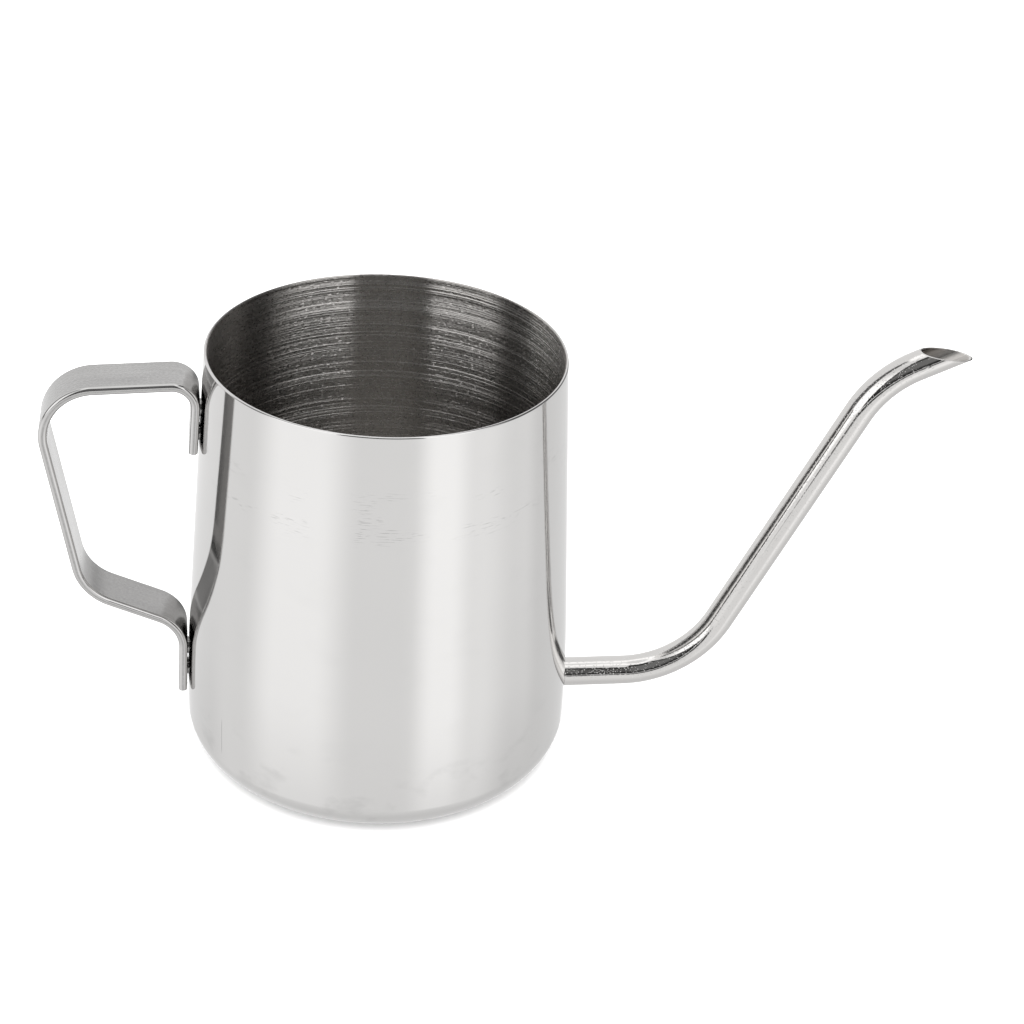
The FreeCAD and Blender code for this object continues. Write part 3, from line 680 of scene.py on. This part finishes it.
def strap_ring(centre, heading, inset, slide, tilt):
    """One ring of the strip; tilt turns its normals from sideways (0) towards the end (+-90)."""
    section, outward = strap_section(inset)
    forward = heading_vector(heading)
    left = heading_vector(heading + 90)
    base = centre + forward * slide
    plane = base + section[:, :1] * left
    points = np.stack([plane[:, 0], section[:, 1], plane[:, 1]], axis=-1)
    sideways = math.cos(math.radians(tilt))
    endways = math.sin(math.radians(tilt))
    facing = sideways * outward[:, :1] * left + endways * forward
    normals = np.stack([facing[:, 0], sideways * outward[:, 1], facing[:, 1]], axis=-1)
    return points, normals


def make_strap():
    """One flat strip with rounded edges and ends, bent four times."""
    line, headings = strap_line()
    rings = []
    end_tilts = np.linspace(90, 0, STRAP_END_STEPS + 1)[:-1]
    for tilt in end_tilts:
        depth = 1 - math.cos(math.radians(tilt))
        slide = STRAP_END_EDGE * (1 - math.sin(math.radians(tilt)))
        rings.append(strap_ring(line[0], headings[0], STRAP_END_EDGE * depth, slide, -tilt))
    first = STRAP_END_EDGE
    for index, (centre, heading) in enumerate(zip(line, headings)):
        slide = first if index == 0 else -first if index == len(line) - 1 else 0
        rings.append(strap_ring(centre, heading, 0, slide, 0))
    for tilt in end_tilts[::-1]:
        depth = 1 - math.cos(math.radians(tilt))
        slide = -STRAP_END_EDGE * (1 - math.sin(math.radians(tilt)))
        rings.append(strap_ring(line[-1], headings[-1], STRAP_END_EDGE * depth, slide, tilt))
    points = np.array([r[0] for r in rings])
    normals = np.array([r[1] for r in rings])
    rows, columns = points.shape[:2]
    section, outward = strap_section(0)
    around = run_lengths(np.concatenate([section, section[:1]]))
    along = run_lengths(points.mean(axis=1))
    faces = [face[::-1] for face in grid_faces(rows, columns, False)]
    uvs = np.array(grid_uvs(along, around)).reshape(-1, 4, 2)[:, ::-1].reshape(-1, 2).tolist()
    # Rounded edge faces get the smoother edge material, painted lighter than the faces as a painted
    # highlight.
    rounded = np.abs(np.abs(outward).max(axis=1) - 1) > 1e-6
    edge_face = [bool(rounded[c] or rounded[(c + 1) % columns]) for c in range(columns)]
    # Faces on the inside of the loop get a darker copy of the satin: painted shade where the loop faces the
    # cup.
    faces_inwards = outward[:, 0] > 0.99
    inner_face = [bool(faces_inwards[c] and faces_inwards[(c + 1) % columns]) for c in range(columns)]
    column_materials = [1 if edge_face[c] else 2 if inner_face[c] else 0 for c in range(columns)]
    face_materials = column_materials * (rows - 1)
    last = (rows - 1) * columns
    faces.append(tuple(range(columns)))
    faces.append(tuple(range(last + columns - 1, last - 1, -1)))
    uvs += [(y, x) for x, y in section.tolist()] + [(y, x) for x, y in section[::-1].tolist()]
    face_materials += [0, 0]
    materials = [
        metal("satin_strip", satin_strip),
        metal("smooth_edge_painted_highlight", smooth_edge_painted_highlight),
        metal("satin_inside_painted_shade", satin_inside_painted_shade),
    ]
    strap = make_object(
        "handle", points.reshape(-1, 3), faces, normals.reshape(-1, 3), uvs, materials, face_materials
    )
    stand_in(strap, "handle_strap")
    return strap


# ---------------------------------------------------------------- welds


def finish_cad_welds():
    """The spot welds keep their CAD shapes and get the weld metal's look."""
    material = metal("weld_metal", weld_metal)
    for name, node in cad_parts.items():
        if "weld" in name:
            node.data.materials.clear()
            node.data.materials.append(material)


# ---------------------------------------------------------------- studio

# Light that the metal sees, by direction. Azimuth is measured from +X towards +Y and
# elevation up from the horizon, both in degrees; 1 is as bright as the white backdrop.
# name: (middle azimuth, half width, softness, lowest, highest elevation, softness, brightness)
PATCHES = {
    "ceiling": (0, 190, 8, 66, 100, 6, 1.0),
    "ceiling_light": (0, 190, 8, 66, 78, 6, 1.55),
    "dark_right_side": (7, 48, 10, -9, 66, 12, 0.12),
    "dark_left_back": (178, 17, 8, -3, 66, 8, 0.15),
    "right_softbox": (-58, 32, 38, 3, 60, 6, 1.65),
    "left_softbox": (-143, 27, 14, 2, 63, 5, 1.65),
    "right_softbox_top": (-58, 28, 30, 40, 62, 30, 1.0),
    "left_softbox_top": (-143, 27, 14, 40, 66, 30, 0.9),
    "camera_gap": (-97.5, 26, 2, -8, 66, 4, 0.03),
    "camera_gap_middle": (-97.5, 20, 14, 16, 54, 14, 0.21),
    "table_edge": (-97.5, 26, 2, -1, 2, 1.5, 0.9),
    "left_floor_glow": (-146, 25, 26, -36, -9, 24, 1.28),
    "right_floor_spill": (-46, 26, 26, -36, -9, 24, 1.14),
    "right_floor_glow": (-58, 12, 16, -36, -9, 24, 1.34),
    "right_floor_shade": (46, 38, 16, -60, -4, 14, 0.86),
    "right_low_shade": (26, 45, 30, -90, -34, 16, 0.80),
    "left_low_shade": (130, 25, 20, -90, -32, 12, 0.86),
    "backdrop": (82, 14, 16, -45, -18, 10, 1.2),
}
# Darker patches that metal sees only in the reflection of other metal. A ray that reaches the
# world from its first reflection has a depth of 2, and from its second a depth of 3.
SECOND_PATCHES = {
    "floor_beside": (45, 60, 20, -80, -2, 10, 0.40),
    "backdrop_above": (100, 28, 16, 30, 66, 12, 0.55),
}
SECOND_DEPTH = 2.5
NEAR_FLOOR = 0.80
FAR_FLOOR = 1.0
FLOOR_LIGHT = 2.0
FLOOR_HALF = 3.0
LAMP_SIZE = 2.0
LAMP_WATTS = 17.0
LAMP_HEIGHT = 1.5


def angle_mask(graph, azimuth, elevation, patch):
    """1 inside a patch of directions and 0 outside it, with soft edges."""
    middle, half, side_soft, low, high, soft, _ = patch
    offset = graph.math("WRAP", graph.math("SUBTRACT", azimuth, middle), 180, -180)
    distance = graph.math("ABSOLUTE", offset)
    across = graph.ease(distance, half - side_soft / 2, half + side_soft / 2, 1.0, 0.0)
    above = graph.ease(elevation, low - soft / 2, low + soft / 2)
    below = graph.ease(elevation, high - soft / 2, high + soft / 2, 1.0, 0.0)
    return graph.math("MULTIPLY", graph.math("MULTIPLY", across, above), below)


def make_world():
    """Soft studio: white to the camera and the floor, and soft boxes and dark sides to the metal."""
    world = bpy.data.worlds.new("studio")
    bpy.context.scene.world = world
    world.use_nodes = True
    graph = Graph(world.node_tree)
    direction = graph.add("ShaderNodeTexCoord").outputs["Generated"]
    parts = graph.add("ShaderNodeSeparateXYZ", {"Vector": direction}).outputs
    azimuth = graph.math("DEGREES", graph.math("ARCTAN2", parts["Y"], parts["X"]))
    elevation = graph.math("DEGREES", graph.math("ARCSINE", parts["Z"]))
    light = graph.ease(elevation, -75, -22, NEAR_FLOOR, FAR_FLOOR)
    for patch in PATCHES.values():
        mask = angle_mask(graph, azimuth, elevation, patch)
        light = graph.between(light, float(patch[-1]), mask)
    rays = graph.add("ShaderNodeLightPath").outputs
    second = graph.math("GREATER_THAN", rays["Ray Depth"], SECOND_DEPTH)
    for patch in SECOND_PATCHES.values():
        mask = graph.math("MULTIPLY", second, angle_mask(graph, azimuth, elevation, patch))
        light = graph.between(light, float(patch[-1]), mask)
    seen_plain = graph.math("MAXIMUM", rays["Is Camera Ray"], rays["Is Diffuse Ray"])
    plain = graph.between(1.0, FLOOR_LIGHT, rays["Is Diffuse Ray"])
    strength = graph.between(light, plain, seen_plain)
    background = graph.add("ShaderNodeBackground", {"Color": (1, 1, 1, 1), "Strength": strength})
    graph.add("ShaderNodeOutputWorld", {"Surface": background.outputs["Background"]})


def make_floor():
    """Wide pale floor; the metal sees the studio's own lower half instead."""
    half = FLOOR_HALF
    corners = [(-half, -half, 0), (half, -half, 0), (half, half, 0), (-half, half, 0)]
    mesh = bpy.data.meshes.new("floor")
    mesh.from_pydata(corners, [], [(0, 1, 2, 3)])
    material = bpy.data.materials.new("floor")
    material.use_nodes = True
    graph = Graph(material.node_tree)
    diffuse = graph.add("ShaderNodeBsdfDiffuse", {"Color": (0.97, 0.97, 0.97, 1)})
    graph.add("ShaderNodeOutputMaterial", {"Surface": diffuse.outputs["BSDF"]})
    mesh.materials.append(material)
    floor = bpy.data.objects.new("floor", mesh)
    bpy.context.scene.collection.objects.link(floor)
    floor.visible_glossy = False


def make_soft_light():
    """Large soft lamp overhead that lights the floor; the metal sees the studio's patches."""
    data = bpy.data.lights.new("overhead", "AREA")
    data.size = LAMP_SIZE
    data.energy = LAMP_WATTS
    lamp = bpy.data.objects.new("overhead", data)
    lamp.location = (0, 0, LAMP_HEIGHT)
    lamp.visible_glossy = False
    lamp.visible_camera = False
    bpy.context.scene.collection.objects.link(lamp)


# ---------------------------------------------------------------- camera

CAMERA_AZIMUTH = -9.845
CAMERA_ELEVATION = 30.936
CAMERA_ROLL = 3.943
CAMERA_DISTANCE = 475.67 * MM
CAMERA_AIM = Vector((30.22 * MM, 0.15 * MM, 57.51 * MM))
CAMERA_LENS = 71.894
CAMERA_SENSOR = 36.0


def make_camera():
    """Camera a little to the left of the side view, looking down, slightly rolled."""
    azimuth, elevation = math.radians(CAMERA_AZIMUTH), math.radians(CAMERA_ELEVATION)
    turn = Matrix.Rotation(azimuth, 4, "Z") @ Matrix.Rotation(math.pi / 2 - elevation, 4, "X")
    turn = turn @ Matrix.Rotation(math.radians(CAMERA_ROLL), 4, "Z")
    back = turn.to_3x3() @ Vector((0, 0, 1))
    data = bpy.data.cameras.new("camera")
    data.lens = CAMERA_LENS
    data.sensor_width = CAMERA_SENSOR
    data.clip_start = 0.01
    camera = bpy.data.objects.new("camera", data)
    camera.matrix_world = Matrix.Translation(CAMERA_AIM + back * CAMERA_DISTANCE) @ turn
    bpy.context.scene.collection.objects.link(camera)
    bpy.context.scene.camera = camera


make_cup()
make_spout()
make_strap()
finish_cad_welds()
make_world()
make_floor()
make_soft_light()
make_camera()
bpy.context.scene.view_settings.view_transform = "Standard"
